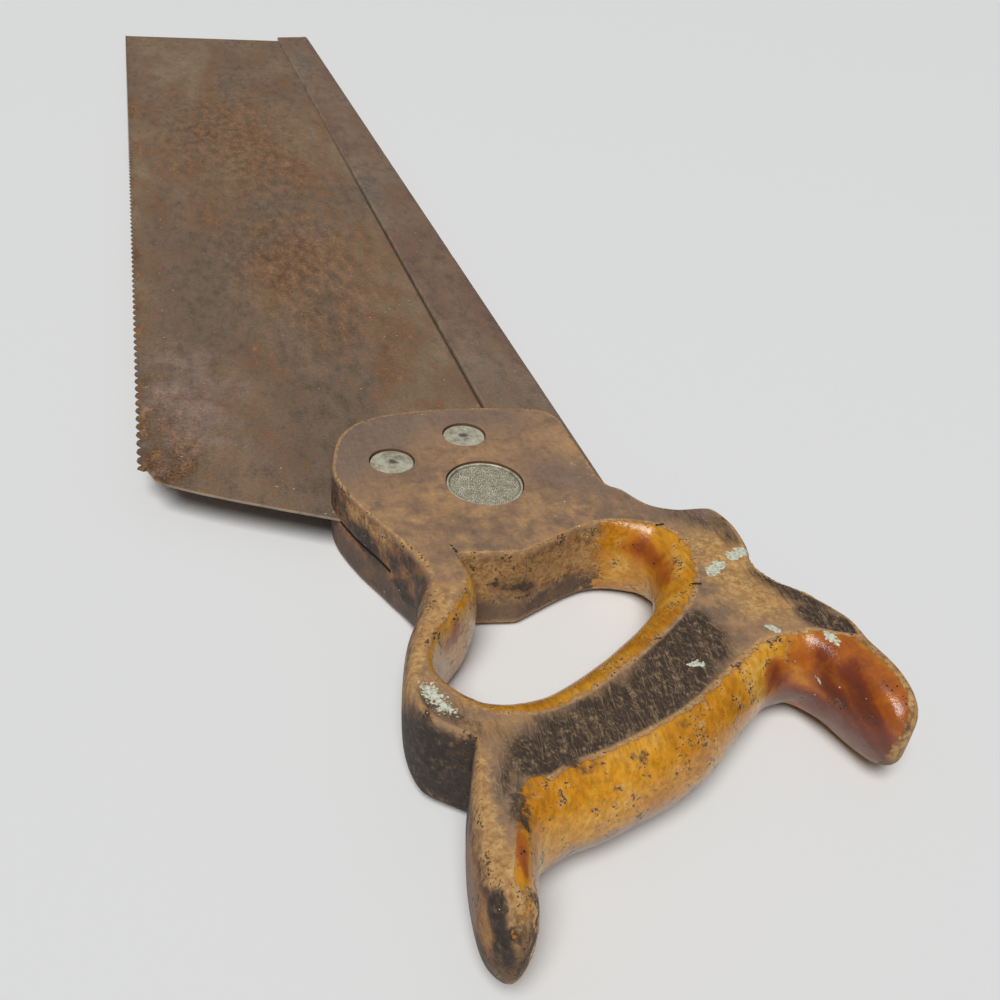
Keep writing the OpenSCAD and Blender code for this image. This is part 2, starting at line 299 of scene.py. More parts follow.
def old_steel(name, ground, rust, toothed):
    """Steel browned by a century of handling: an even olive-brown oxide with soft blooms of
    rust, which are thickest at the heel of the teeth where the bluing has gone."""
    material, node = new_material(name)
    place = node("TexCoord").outputs["Object"]
    # Rolling and wiping have drawn every mark out along the blade, to 2.5 times its width.
    # Clouds of oxide are 45 mm wide, blooms of rust 20 mm, mottling 4 mm, and pits 0.7 mm
    drawn = (1.0, 0.4, 1.0)
    where = node("Mapping", place, named={"Scale": drawn})
    cloud = node("TexNoise", where, 22.0, 5.0, 0.55)
    bloom = node("TexNoise", where, 50.0, 6.0, 0.65)
    mottle = node("TexNoise", where, 240.0, 5.0, 0.7)
    pits = node("TexNoise", place, 1200.0, 3.0, 0.65)
    grit = node("Mix", 0.45, mottle, pits)
    oxide = node("ValToRGB", cloud, stops=ground)
    rusty = node("ValToRGB", grit, stops=[(0.38, "#866146"), (0.5, "#73543e"), (0.62, "#634735")])
    skin = laid(node, oxide, rusty, bloom, mottle, 0.98, 1.2, rust)
    if toothed:
        along = node("SeparateXYZ", place).outputs

        def near(x, y, far, close, most):
            """A soft spot round a point in mm, from nothing far away to most close by."""
            middle = tuple(placed([(x, y, 0)])[0] * drawn)
            away = node("VectorMath", where, middle, operation="DISTANCE")
            return node("MapRange", away, far, close, 0.0, most)

        # A wide cloud of brown rust towards the toe, and a smaller one near the back
        clouds = node("Math", near(back_x - 42, HEEL_REACH + 150, 0.052, 0.013, 0.4),
                      near(back_x - 56, HEEL_REACH + 335, 0.07, 0.0175, 0.4), operation="MAXIMUM")
        warm_tone = node("ValToRGB", grit, stops=[
            (0.4, "#614730"), (0.48, "#76573d"), (0.56, "#836145"), (0.66, "#8d7053")])
        skin = laid(node, skin, warm_tone, node("Math", clouds, bloom), grit, 1.08, 1.5, 0.85)
        # Thick rust along the teeth's near end, dark and pale by turns where it has scaled off
        at_heel = near(tip_x + 3, HEEL_REACH + 22, 0.03, 0.012, 0.4)
        edge = placed([(tip_x + 8, 0, 0), (tip_x + 2, 0, 0)])[:, 0]
        at_teeth = node("MapRange", along["X"], *edge, 0.0, 0.24)
        crusted = node("Math", at_heel, at_teeth, operation="MAXIMUM")
        grainy = node("ValToRGB", grit, stops=[
            (0.4, "#432e1e"), (0.48, "#614328"), (0.56, "#7a593a"), (0.66, "#8f6e4a")])
        skin = laid(node, skin, grainy, crusted, node("Math", bloom, mottle), 1.2, 1.42, 0.9)
        scales = node("TexNoise", place, 70.0, 8.0, 0.75)
        beside = near(tip_x + 18, HEEL_REACH + 36, 0.036, 0.004, 0.42)
        skin = laid(node, skin, "#927d73", scales, beside, 0.76, 0.94, 0.6)
        # Soot-dark dirt and painted contact shade lie in the corner between the plate and the
        # back's nearer half
        seam = placed([(back_x - 1.3, 0, 0), (back_x - 0.2, 0, 0)])[:, 0]
        halfway = placed([(0, 430, 0), (0, 250, 0)])[:, 1]
        seam_dirt_and_shade = node("Math", node("MapRange", along["X"], *seam),
                    node("MapRange", along["Y"], *halfway, 0.1, 0.9), operation="MULTIPLY")
        skin = node("Mix", seam_dirt_and_shade, skin, "#241e1a", data_type="RGBA")
    shade = node("MapRange", grit, 0.35, 0.65, 0.7, 1.4)
    skin = node("VectorMath", skin, shade, operation="SCALE")
    # Arrises are rubbed bright, and small spots have lost their oxide
    arris = node("Attribute", attribute_name="arris").outputs["Fac"]
    rubbed = node("Math", arris, mottle, operation="MULTIPLY")
    rubbed = node("MapRange", rubbed, 0.25, 0.6, 0.0, 0.7)
    bright = node("Math", rubbed, specks(node, place, 420.0, 0.16, 0.965), operation="MAXIMUM")
    skin = node("Mix", bright, skin, "#a89a84", data_type="RGBA")
    rough = node("MapRange", mottle, 0.3, 0.7, 0.5, 0.72)
    surfaced(node, skin, 0.2, rough, grit, 0.0002)
    return material


plate_steel = old_steel(
    "browned_spring_steel",
    [(0.38, "#6f5e4e"), (0.46, "#796452"), (0.53, "#7f6852"), (0.61, "#86735c")],
    rust=0.8, toothed=True,
)
finished(plate, plate_steel, "saw_plate")

# TEETH
# Crosscut teeth, 11 points to the inch, punched and filed on the plate's own edge. Each gullet
# is filed at the fleam angle from the other side than its neighbour, and the points are bent
# out in turn to both sides, which is the set.
PITCH = 2.54
TOOTH_SET = 0.22
FLEAM = math.radians(22)
LEAN = 0.18
tooth_count = int(BLADE_LEN / PITCH)
skew = face * math.tan(FLEAM)
short = 1 - (PITCH - 2 * skew) / (PITCH + 2 * skew)


def tooth_pair():
    """Two neighbouring teeth, set to either side, with the strip of plate that they stand on."""
    points = []
    for j in range(3):
        side = 1 if j % 2 else -1
        y = j * PITCH
        tip_y = y + (0.5 + LEAN) * PITCH
        bend = side * TOOTH_SET
        high, low = tip_x, tip_x + short * TOOTH_DEPTH
        points += [
            (root_x, y - side * skew, face), (root_x, y + side * skew, -face),
            (strip_x, y, face), (strip_x, y, -face),
            (high if side > 0 else low, tip_y, face + bend),
            (low if side > 0 else high, tip_y, bend - face),
        ]
    faces = []
    for a in (0, 6):
        b = a + 6
        faces += [(a, a + 4, b), (a + 1, b + 1, a + 5), (a, a + 1, a + 5, a + 4),
                  (b, a + 4, a + 5, b + 1), (a, b, b + 2, a + 2), (a + 1, a + 3, b + 3, b + 1),
                  (a + 2, b + 2, b + 3, a + 3)]
    return points[:16], faces


pair_points, pair_faces = tooth_pair()
pair = bpy.data.objects.new("tooth_pair", bpy.data.meshes.new("tooth_pair"))
pair.data.from_pydata((np.array(pair_points) * MM).tolist(), [], pair_faces)


def new_tree(name, inputs):
    """A Geometry Nodes tree with those named inputs, what adds its nodes, and its inputs."""
    tree = bpy.data.node_groups.new(name, "GeometryNodeTree")
    for name, kind, way in [("Geometry", "Geometry", "INPUT"),
                            *[(name, kind, "INPUT") for name, kind in inputs.items()],
                            ("Geometry", "Geometry", "OUTPUT")]:
        tree.interface.new_socket(name, in_out=way, socket_type="NodeSocket" + kind)
    return tree, partial(add, tree), add(tree, "NodeGroupInput").outputs


def grown(name, tree, values):
    """A piece made by a Geometry Nodes tree from named values, as a plain mesh."""
    piece = shown(name, bpy.data.meshes.new(name))
    maker = piece.modifiers.new("maker", "NODES")
    maker.node_group = tree
    for socket in tree.interface.items_tree:
        if socket.in_out == "INPUT" and socket.name in values:
            maker[socket.identifier] = values[socket.name]
    modifiers_applied(piece)
    return piece


def sealed(piece):
    """Closes every hole in the piece's skin with a flat face."""
    skin = bmesh.new()
    skin.from_mesh(piece.data)
    bmesh.ops.holes_fill(skin, edges=skin.edges)
    skin.to_mesh(piece.data)
    skin.free()


rows, node, given = new_tree("tooth_row", {
    "Tooth pair": "Object", "Pairs": "Int", "Step": "Vector", "Start": "Vector",
    "Steel": "Material"})
line = node("GeometryNodeMeshLine", mode="OFFSET", named={
    "Count": given["Pairs"], "Start Location": given["Start"], "Offset": given["Step"]})
tooth = node("GeometryNodeObjectInfo", given["Tooth pair"])
lined = node("GeometryNodeInstanceOnPoints", named={
    "Points": line, "Instance": tooth.outputs["Geometry"]})
solid = node("GeometryNodeRealizeInstances", lined)
welded = node("GeometryNodeMergeByDistance", named={"Geometry": solid, "Distance": 0.00001})
painted = node("GeometryNodeSetMaterial", named={"Geometry": welded, "Material": given["Steel"]})
node("NodeGroupOutput", painted)
teeth = grown("saw_teeth", rows, {
    "Tooth pair": pair, "Pairs": tooth_count // 2, "Step": (0.0, 2 * PITCH * MM, 0.0),
    "Start": placed((0, toe_y - tooth_count * PITCH, 0)).tolist(), "Steel": plate_steel,
})
bpy.data.objects.remove(pair)
sealed(teeth)
finished(teeth, plate_steel, "saw_plate")

# STEEL BACK
# One strip of mild steel about 2 mm thick, folded hot over a mandrel and tapped down on the
# plate so that its lips pinch it. It stiffens the blade and runs in the mitre box's guides.
BACK_WIDTH = 24.2
FOLD_THICK = 7.4
LIP_THICK = 5.0
SLOT = face + 0.1
WALL = LIP_THICK / 2 - SLOT
DENT = 0.12
fold_round = FOLD_THICK / 2 - 0.8
outer_side = [(0, LIP_THICK / 2 - 0.5), (0.15, LIP_THICK / 2 - 0.15), (0.5, LIP_THICK / 2)]
outer_side += [(f * BACK_WIDTH, LIP_THICK / 2 + f * (FOLD_THICK - LIP_THICK) / 2)
               for f in (0.25, 0.5, 0.75)]
for k in range(9):
    a = math.radians(90 - k * 11.25)
    outer_side.append((BACK_WIDTH - fold_round * (1 - math.cos(a)),
                       FOLD_THICK / 2 - fold_round * (1 - math.sin(a))))
inner_side = [(0, SLOT), (BACK_WIDTH - fold_round - WALL, FOLD_THICK / 2 - WALL),
              (BACK_WIDTH - WALL, FOLD_THICK / 2 - WALL - fold_round / 2)]
profile = [*outer_side, *[(x, -z) for x, z in reversed(outer_side)],
           *[(x, -z) for x, z in inner_side], *reversed(inner_side)]
back_toe = (back_high.y - axis.y) / MM
stations = [back_end, back_end + 0.25, *np.linspace(back_end + 6, back_toe - 6, 160),
            back_toe - 0.25, back_toe]
points = []
for k, y in enumerate(stations):
    filed = 0.2 if k in (0, len(stations) - 1) else 0
    for x, z in profile:
        # Hammer dents in the sides and the fold
        dent = DENT * max(0, noise.noise(Vector((x / 9, y / 11, z / 7))) - 0.1)
        squeeze = 1 - (filed + dent) / (FOLD_THICK / 2)
        points.append((back_x + x - (filed + dent) * (x > BACK_WIDTH / 2), y, z * squeeze))
around = len(profile)
ends = [tuple(range(around)), tuple(range(len(points) - 1, len(points) - 1 - around, -1))]
back = new_piece("steel_back_fold", points, ends + bands(around, len(stations)))
shoulder = [0.35 * (x > BACK_WIDTH * 0.74) * (x < BACK_WIDTH - 1) + (x < 0.4) for x, z in profile]
mark(back, "arris", shoulder * len(stations))
back_steel = old_steel(
    "browned_mild_steel",
    [(0.38, "#6f6257"), (0.46, "#7b6a5a"), (0.54, "#7d6654"), (0.62, "#735c50")],
    rust=0.5, toothed=False,
)
finished(back, back_steel, "steel_back")

# HANDLE
# Applewood about an inch thick, bandsawn to outline and shaped with rasps: flat sides, crisp
# edges round the cheeks and a full round where the hand goes. The flats were left plain and
# the rounded parts varnished, and hands have worn both.
SECTION_STEPS = 12
EDGE_STEPS = 12
FLAT_STEPS = 16
WALL_STEPS = 8
crisp, soft, full = 2.5, 7, half - 0.4
arc, lean = 2, 1.3
# Rim of the hand hole at mid-thickness: x, y, width and depth of its edge, bend, varnish
HOLE = np.array([
    (-16.5, -31, 1, crisp, 0.3, 0.1),
    (1.5, -33.3, 1, crisp, 0.3, 0),
    (22, -26, 3, soft, 1, 0.3),
    (33, -29, 8, full, 1, 1),
    (38.3, -36, 9.5, full, 1, 1),
    (35, -47, 10, full, 1, 1),
    (26.5, -57.5, 10, full, 1, 1),
    (8, -70.5, 10, full, 1, 1),
    (-10, -78.8, 10, full, 1, 1),
    (-23, -78, 8, full, 1, 0.8),
    (-30, -70, 5, full, 1, 0.9),
    (-27, -60, 4.5, full, 1, 1),
    (-17, -48.5, 4.5, full, 1, 0.9),
    (-13, -39, 4, full, 1, 0.7),
])
# Outline at mid-thickness: x, y, foot of its edge on the flat, edge depth, fullness, place on
# HOLE, bend, varnish
OUTLINE = np.array([
    (-42, 11, -41, 9.5, crisp, arc, 0.25, 1, 0),
    (-40.6, 22, -39.5, 20.5, crisp, arc, 0.4, 1, 0),
    (-36.5, 33.5, -35.5, 31.5, crisp, arc, 0.5, 1, 0),
    (-28, 41, -27.5, 39, crisp, arc, 0.65, 1, 0),
    (-14, 44.2, -13.5, 42, crisp, arc, 0.85, 1, 0),
    (3, 44, 3, 42, crisp, arc, 1, 1, 0),
    (18, 42, 17.5, 40, crisp, arc, 1.3, 1, 0),
    (28.5, 40, 28, 38, crisp, arc, 1.5, 1, 0),
    (34, 34, 33, 31.5, crisp, arc, 1.6, 1, 0),
    (34.6, 20, 33.5, 17, crisp, arc, 1.7, 1, 0),
    (35.2, 0, 33.5, -2.5, crisp, arc, 1.9, 1, 0),
    (36.5, -6.5, 35.5, -8, crisp, arc, 2.05, 0.5, 0),
    (39.5, -9, 38, -10.5, crisp, arc, 2.15, 0.7, 0),
    (44.3, -17.5, 42.5, -18.5, crisp, arc, 2.5, 1, 0),
    (52, -22, 50, -22.5, crisp, arc, 2.9, 1, 0),
    (62, -23.5, 60, -24, crisp, arc, 3.3, 0.7, 0),
    (64.5, -31, 62.5, -31, crisp, arc, 3.6, 1, 0),
    (63.8, -41, 62, -40.5, crisp, arc, 4, 1, 0),
    (61, -48.5, 59, -47.5, crisp, arc, 4.3, 0.2, 0),
    (63.5, -57, 61.5, -56, crisp, arc, 4.6, 1, 0),
    (70, -64.5, 67.5, -63, crisp, arc, 4.8, 1, 0),
    (76.3, -74, 73.8, -73.6, soft, arc, 5, 1, 0),
    (77.3, -86, 73.6, -80, full, 3, 5.1, 1, 0.6),
    (78.2, -97, 72.8, -80.2, full, 5, 5.15, 1, 0.9),
    (76.4, -104.5, 71.2, -79.7, full, 4.5, 5.2, 0.8, 1),
    (70.8, -107, 68.3, -78.3, full, 2.7, 5.25, 0.8, 1),
    (68, -102.5, 66.3, -77.2, full, 1.7, 5.3, 1, 1),
    (65.2, -94, 63.6, -76, full, 1.5, 5.4, 1, 1),
    (61.5, -85, 58, -75.5, full, lean, 5.6, 1, 1),
    (53, -82.5, 49, -76.5, full, arc, 5.8, 1, 1),
    (42, -89.5, 38.5, -82.5, full, arc, 6.1, 1, 1),
    (22, -103.5, 19, -94, full, arc, 6.8, 1, 1),
    (0, -111, -1, -101, full, arc, 7.6, 1, 1),
    (-14, -114, -13.5, -104, full, arc, 8.2, 1, 1),
    (-22, -118, -24, -110.5, full, arc, 8.3, 1, 1),
    (-25, -126, -28, -119, full, arc, 8.38, 1, 1),
    (-27.5, -133, -30.5, -125, full, arc, 8.44, 1, 0.6),
    (-33, -137.5, -33, -127, full, arc, 8.5, 1, 0.2),
    (-37.2, -131, -34, -124, full, arc, 8.56, 1, 0),
    (-36.4, -117, -33.5, -115.5, full, arc, 8.62, 1, 0),
    (-32.6, -103, -31, -103.5, soft, arc, 8.75, 1, 0),
    (-29, -92.5, -28.2, -92.3, crisp, arc, 9.2, 0, 0),
    (-33.5, -89.5, -33, -88, crisp, arc, 9.55, 1, 0),
    (-38.2, -84.5, -37, -83, crisp, arc, 9.85, 1, 0),
    (-40, -76, -38, -74.5, soft, arc, 10.1, 1, 0),
    (-38.6, -66, -35.5, -65.5, full, arc, 10.6, 1, 0.1),
    (-34.8, -54, -30, -54, full, arc, 11.5, 1, 0.2),
    (-30, -44, -25, -44, full, arc, 12.4, 1, 0.2),
    (-28, -32, -25, -32.5, soft, arc, 13.4, 1, 0.1),
    (-32.7, -17, -31, -18.5, crisp, arc, 13.8, 1, 0),
    (-38.5, -3, -37, -5, crisp, arc, 14.05, 1, 0),
])


def row_curve(table, s, bend, lap):
    """All values of a closed table at place s on the smooth curve through its rows. bend is the
    column that makes a row smooth, 1, or a corner, 0, and lap is what each turn round adds."""
    count = len(table)

    def row(i):
        return table[i % count] + (i // count) * lap

    def slope(i):
        return row(i)[bend] / 2 * (row(i + 1) - row(i - 1))

    i = math.floor(s)
    f = s - i
    g = 1 - f
    step = 3 * f * f - 2 * f**3
    return (row(i) * (1 - step) + row(i + 1) * step
            + slope(i) * f * g * g - slope(i + 1) * f * f * g)


def edge_quarter(wall, foot, depth, fullness, varnish):
    """From the wall at mid-thickness up to its foot on the flat: x, y, z, distance from the
    foot in mm, and varnish."""
    made = []
    for k in range(EDGE_STEPS + 1):
        a = math.pi / 2 * k / EDGE_STEPS
        p = foot + (wall - foot) * max(0, math.cos(a)) ** (2 / fullness)
        made.append((p[0], p[1], half - depth * (1 - math.sin(a) ** (2 / fullness))))
    steps = [math.dist(a, b) for a, b in zip(made, made[1:])]
    past = np.cumsum([0, *steps[::-1]])[::-1]
    return [(*p, d, varnish) for p, d in zip(made, past)]


def between(a, b, steps):
    """Points that split the way from a to b, without its ends."""
    return [tuple(p + (q - p) * k / steps for p, q in zip(a, b)) for k in range(1, steps)]


outline_lap = np.zeros(9)
outline_lap[6] = len(HOLE)
section_count = len(OUTLINE) * SECTION_STEPS
rings = []
for j in range(section_count):
    out = row_curve(OUTLINE, j / SECTION_STEPS, 7, outline_lap)
    rim = row_curve(HOLE, out[6], 4, np.zeros(6))
    wall, foot, rim_wall = out[:2], out[2:4], rim[:2]
    across = foot - rim_wall
    rim_foot = rim_wall + rim[2] * across / np.linalg.norm(across)
    outer = edge_quarter(wall, foot, out[4], out[5], out[8])
    inner = edge_quarter(rim_wall, rim_foot, rim[3], arc, rim[5])
    width = np.linalg.norm(rim_foot - foot)
    flat = []
    for k in range(1, FLAT_STEPS):
        f = (1 - math.cos(math.pi * k / FLAT_STEPS)) / 2
        p = foot + (rim_foot - foot) * f
        flat.append((*p, half, -width * min(f, 1 - f), out[8] * (1 - f) + rim[5] * f))
    upper = outer + flat + inner[::-1]
    lower = [(x, y, -z, d, v) for x, y, z, d, v in upper[::-1]]
    rings.append(upper + between(upper[-1], lower[0], WALL_STEPS)
                 + lower + between(lower[-1], upper[0], WALL_STEPS))
rings = np.array(rings)
grid = rings[..., :3].reshape(-1, 3)


def brushed(strokes, points):
    """How far brush strokes reach each of the points, 0 to 1. A stroke is a radius in mm, a
    strength and its places in mm, where those with two numbers lie on the upper flat."""
    reach = np.zeros(len(points))
    for radius, strength, *path in strokes:
        path = [np.array([*p, half][:3]) for p in path]
        for a, b in zip(path, path[1:] or path):
            along = b - a
            f = ((points - a) @ along / max(along @ along, 1e-9)).clip(0, 1)
            away = np.linalg.norm(points - a - f[:, None] * along, axis=1)
            reach = np.maximum(reach, strength * (1 - away / radius))
    return reach


STROKES = {
    # Black grime in the flats where the palm rests, behind the notch and on the upper horn
    "grime": [
        (8, 0.85, (-13, -99), (-20, -99)), (4.5, 0.95, (-20.5, -103), (-9, -104)),
        (13, 0.95, (-11, -98), (-5, -96), (6, -93), (22, -85)), (12, 1, (14, -89), (33, -75)),
        (9, 0.95, (20, -80), (34, -68)),
        (9, 0.3, (-29, -91), (-18, -94)), (12, 0.42, (50, -22), (61, -36)),
        (6.5, 0.95, (66, -71), (71, -78)), (8, 0.55, (61, -52), (69, -68)),
        (5, 0.55, (-21, -98), (-25, -103), (-27, -108)), (8, 0.5, (-37, -80), (-33, -86)),
        (12, 1, (-22, -96, -half), (6, -92, -half), (32, -75, -half)),
    ],
    # Purple-grey haze on the flats
    "haze": [
        (34, 0.9, (-44, 24), (-26, 42)), (20, 0.6, (-4, 38), (16, 36)),
        (16, 0.6, (20, 4), (34, -6)), (13, 0.7, (44, -12), (56, -25)),
        (10, 0.5, (64, -60), (70, -72)), (30, 0.6, (-30, 10, -half), (20, 20, -half)),
    ],
    # Dark stain on the rounds and walls
    "soot": [
        (4.4, 0.8, (-35.7, -130, 9.4), (-35.3, -133, 7), (-34.6, -136.3, 2)),
        (5, 0.42, (-12, -103, 12.5), (-8, -105, 12)),
        (5, 0.45, (-24, -107, 12.3), (-26, -115, 12.3)),
        (4.5, 0.34, (2, -104, 11), (6, -103.5, 11)), (4, 0.34, (16, -97, 11), (20, -95, 11)),
        (19, 1, (-39, -85, -2), (-33, -91, -1)), (6, 0.5, (-4, -33.5, 1), (7, -33, 0)),
        (7, 0.6, (-34, -14, 2), (-37, -6, 3)), (5, 0.5, (-32, -22, -2), (-29, -30, -2)),
        (3, 0.7, (-40.3, 22, 4), (-42, 10, 5)), (6, 0.6, (62.5, -50, 8), (66, -58, 8)),
        (10, 0.42, (-29, -132, 4), (-33, -137, 0)),
    ],
    # Tan wood that wear has laid bare
    "worn": [
        (13, 1, (-14, -33, 4), (6, -32.5, 3), (27, -27, 4)),
        (6, 0.7, (-39, -2, 9), (-32.7, -17, 9)),
        (9, 0.75, (-24, -46), (-31, -57), (-36, -66), (-38.5, -74)),
        (9, 0.65, (-29, -46, 5), (-37, -60, 5), (-40, -74, 6)),
        (7, 0.85, (-30.5, -98, 12), (-32.5, -106.7, 11.5), (-33, -116, 12.2), (-33, -125, 12.3),
         (-31.5, -131, 11.5), (-29.9, -131.7, 9.6)),
        (9, 0.8, (-29, -133, 7), (-31, -137, 0)), (10, 0.7, (-27, -126, 9), (-30, -136, -6)),
        (10, 1, (77.5, -70, 12), (78.5, -84, 11.5), (79, -97, 10), (78, -104, 8),
         (75.5, -107, 0), (74, -107, -9)),
        (14, 0.3, (-15, -5), (5, -20), (25, -15)), (8, 0.4, (33, 15), (34, -3)),
        (22, 0.85, (55, -42), (57, -62)),
        (4, 0.85, (-29, -82.8, 12), (-21, -86, 12), (-10, -86.5, 12)),
        (9, 0.5, (-30, -92), (-20, -90)),
    ],
    # Greyish and pinkish-brown wood low on the rounds and on the lower horn's flank, partly worn
    # smooth and partly a painted reflection of the pale floor
    "pale": [
        (9, 0.85, (-31, -96, -1), (-36.5, -108, 0), (-38.5, -121, 0)),
        (8, 0.9, (-16, -113, -7), (0, -110, -7), (22, -102.5, -7), (44, -88, -7), (54, -83.5, -8)),
        (6.5, 0.9, (56, -83, -6), (62, -86.5, -7), (66.5, -96, -7), (69.5, -104, -7)),
    ],
    # Varnish that has turned orange and red-brown
    "red": [
        (7.5, 0.8, (66.5, -90, 9), (67.6, -97, 5.5), (69, -105, 1)),
        (7, 0.72, (63, -87, 4), (66, -96, 1), (68, -104, -2)),
        (14, 0.56, (63, -82, 8), (69, -90, 10), (72, -103, 6)),
        (10, 1, (56, -83, -5), (62, -86, -5), (66, -96, -5), (69.5, -105, -5)),
        (7, 0.6, (50, -83, 5), (54, -82, 2)), (9, 0.5, (37, -30, 7), (39.5, -36, 6)),
        (8, 0.45, (39.5, -36, 6), (38, -46, 6)), (5, 0.5, (-27, -66, 6), (-28, -71, 6)),
        (12, 0.2, (-16, -108, 7), (8, -103, 7)),
        (3, 0.5, (-28, -118, 12.6), (-28.6, -126, 12)), (4, 0.4, (-22, -52, 7), (-26, -62, 7)),
    ],
    # Varnish beyond its usual edge, and the horn's rim and end, which have lost it
    "coated": [(4.5, 0.75, (-21, -107.5), (-25.5, -111.5), (-27.4, -116), (-28, -124))],
    "bared": [
        (8, 1, (76, -72, 12), (76.8, -80, 12), (78.5, -88, 11.5), (79.2, -97, 10), (78, -104, 7),
         (76, -106.5, 5), (74.6, -108, 0), (73.5, -107.5, -9)),
    ],
    # Splashes of pale paint
    "paint": [
        (2.8, 1, (47.5, -50.5), (51.5, -48.5)), (2.8, 1, (57, -45.5), (60.5, -44)),
        (2, 1, (52.3, -73.6), (53.6, -74.8)), (2, 1, (65.7, -79, 12.4), (67, -81.5, 12)),
        (4, 0.6, (-36.2, -76), (-33.2, -83.5)), (1.8, 1, (27, -82), (29, -81.7)),
        (1, 1, (66.9, -87.8, 9.3)), (0.9, 1, (62.4, -85.2, 2.8)),
    ],
    # Cracks in the cheek and below the saw cut, and two nicks in the hand hole's rim
    "cracks": [
        (1.2, 1, (-17.8, -24.8), (-16.5, -30.3)), (1.2, 1, (-30.8, -20, 0), (-28.6, -28, 0)),
        (1.6, 1, (41.8, -28.4), (43.8, -28.4)), (1.8, 1, (39.9, -54), (42.3, -54.6)),
        (1, 1, (-28.9, -93, 8), (-29.6, -91, -6)),
    ],
}
# The edge is chipped behind the notch, and all of it is worn in shallow waves
WAVES = 0.22
chips = brushed([(6, 1, (60.5, -48), (64, -56)), (4, 1, (66, -60), (69, -63))], grid)
handle = new_piece("carved_handle", grid, bands(rings.shape[1], section_count, closed=True))
normals = np.empty(len(grid) * 3)
handle.data.vertices.foreach_get("normal", normals)
dents = [WAVES * max(0, noise.noise(Vector(p) / 9)) + chip * abs(noise.noise(Vector(p) / 1.3))
         for p, chip in zip(grid, chips)]
dented = grid - normals.reshape(-1, 3) * np.array(dents)[:, None]
dented[:, 2] = dented[:, 2].clip(-half, half)
handle.data.vertices.foreach_set("co", placed(dented).ravel())
handle.data.update()


def box_cutter(low, high):
    """Points and faces of a box in mm, with z from the middle plane."""
    (a, b, c), (d, e, f) = low, high
    corners = [(x, y, z) for z in (c, f) for y in (b, e) for x in (a, d)]
    sides = [(0, 2, 3, 1), (4, 5, 7, 6), (0, 1, 5, 4), (2, 6, 7, 3), (0, 4, 6, 2), (1, 3, 7, 5)]
    return corners, sides


def scratches(node, where, turn, across, along, width):
    """Fine streaks: where a noise, drawn out to streaks of that size in mm, passes its mean."""
    aligned = node("Mapping", where, named={"Rotation": (0.0, 0.0, math.radians(turn))})
    streaks = node("Mapping", aligned,
                   named={"Scale": (1 / across / MM, 1 / along / MM, 1 / along / MM)})
    off = node("Math", node("TexNoise", streaks, 1.0, 2.0), 0.5, operation="SUBTRACT")
    away = node("Math", off, operation="ABSOLUTE")
    return node("MapRange", away, width, width / 3)


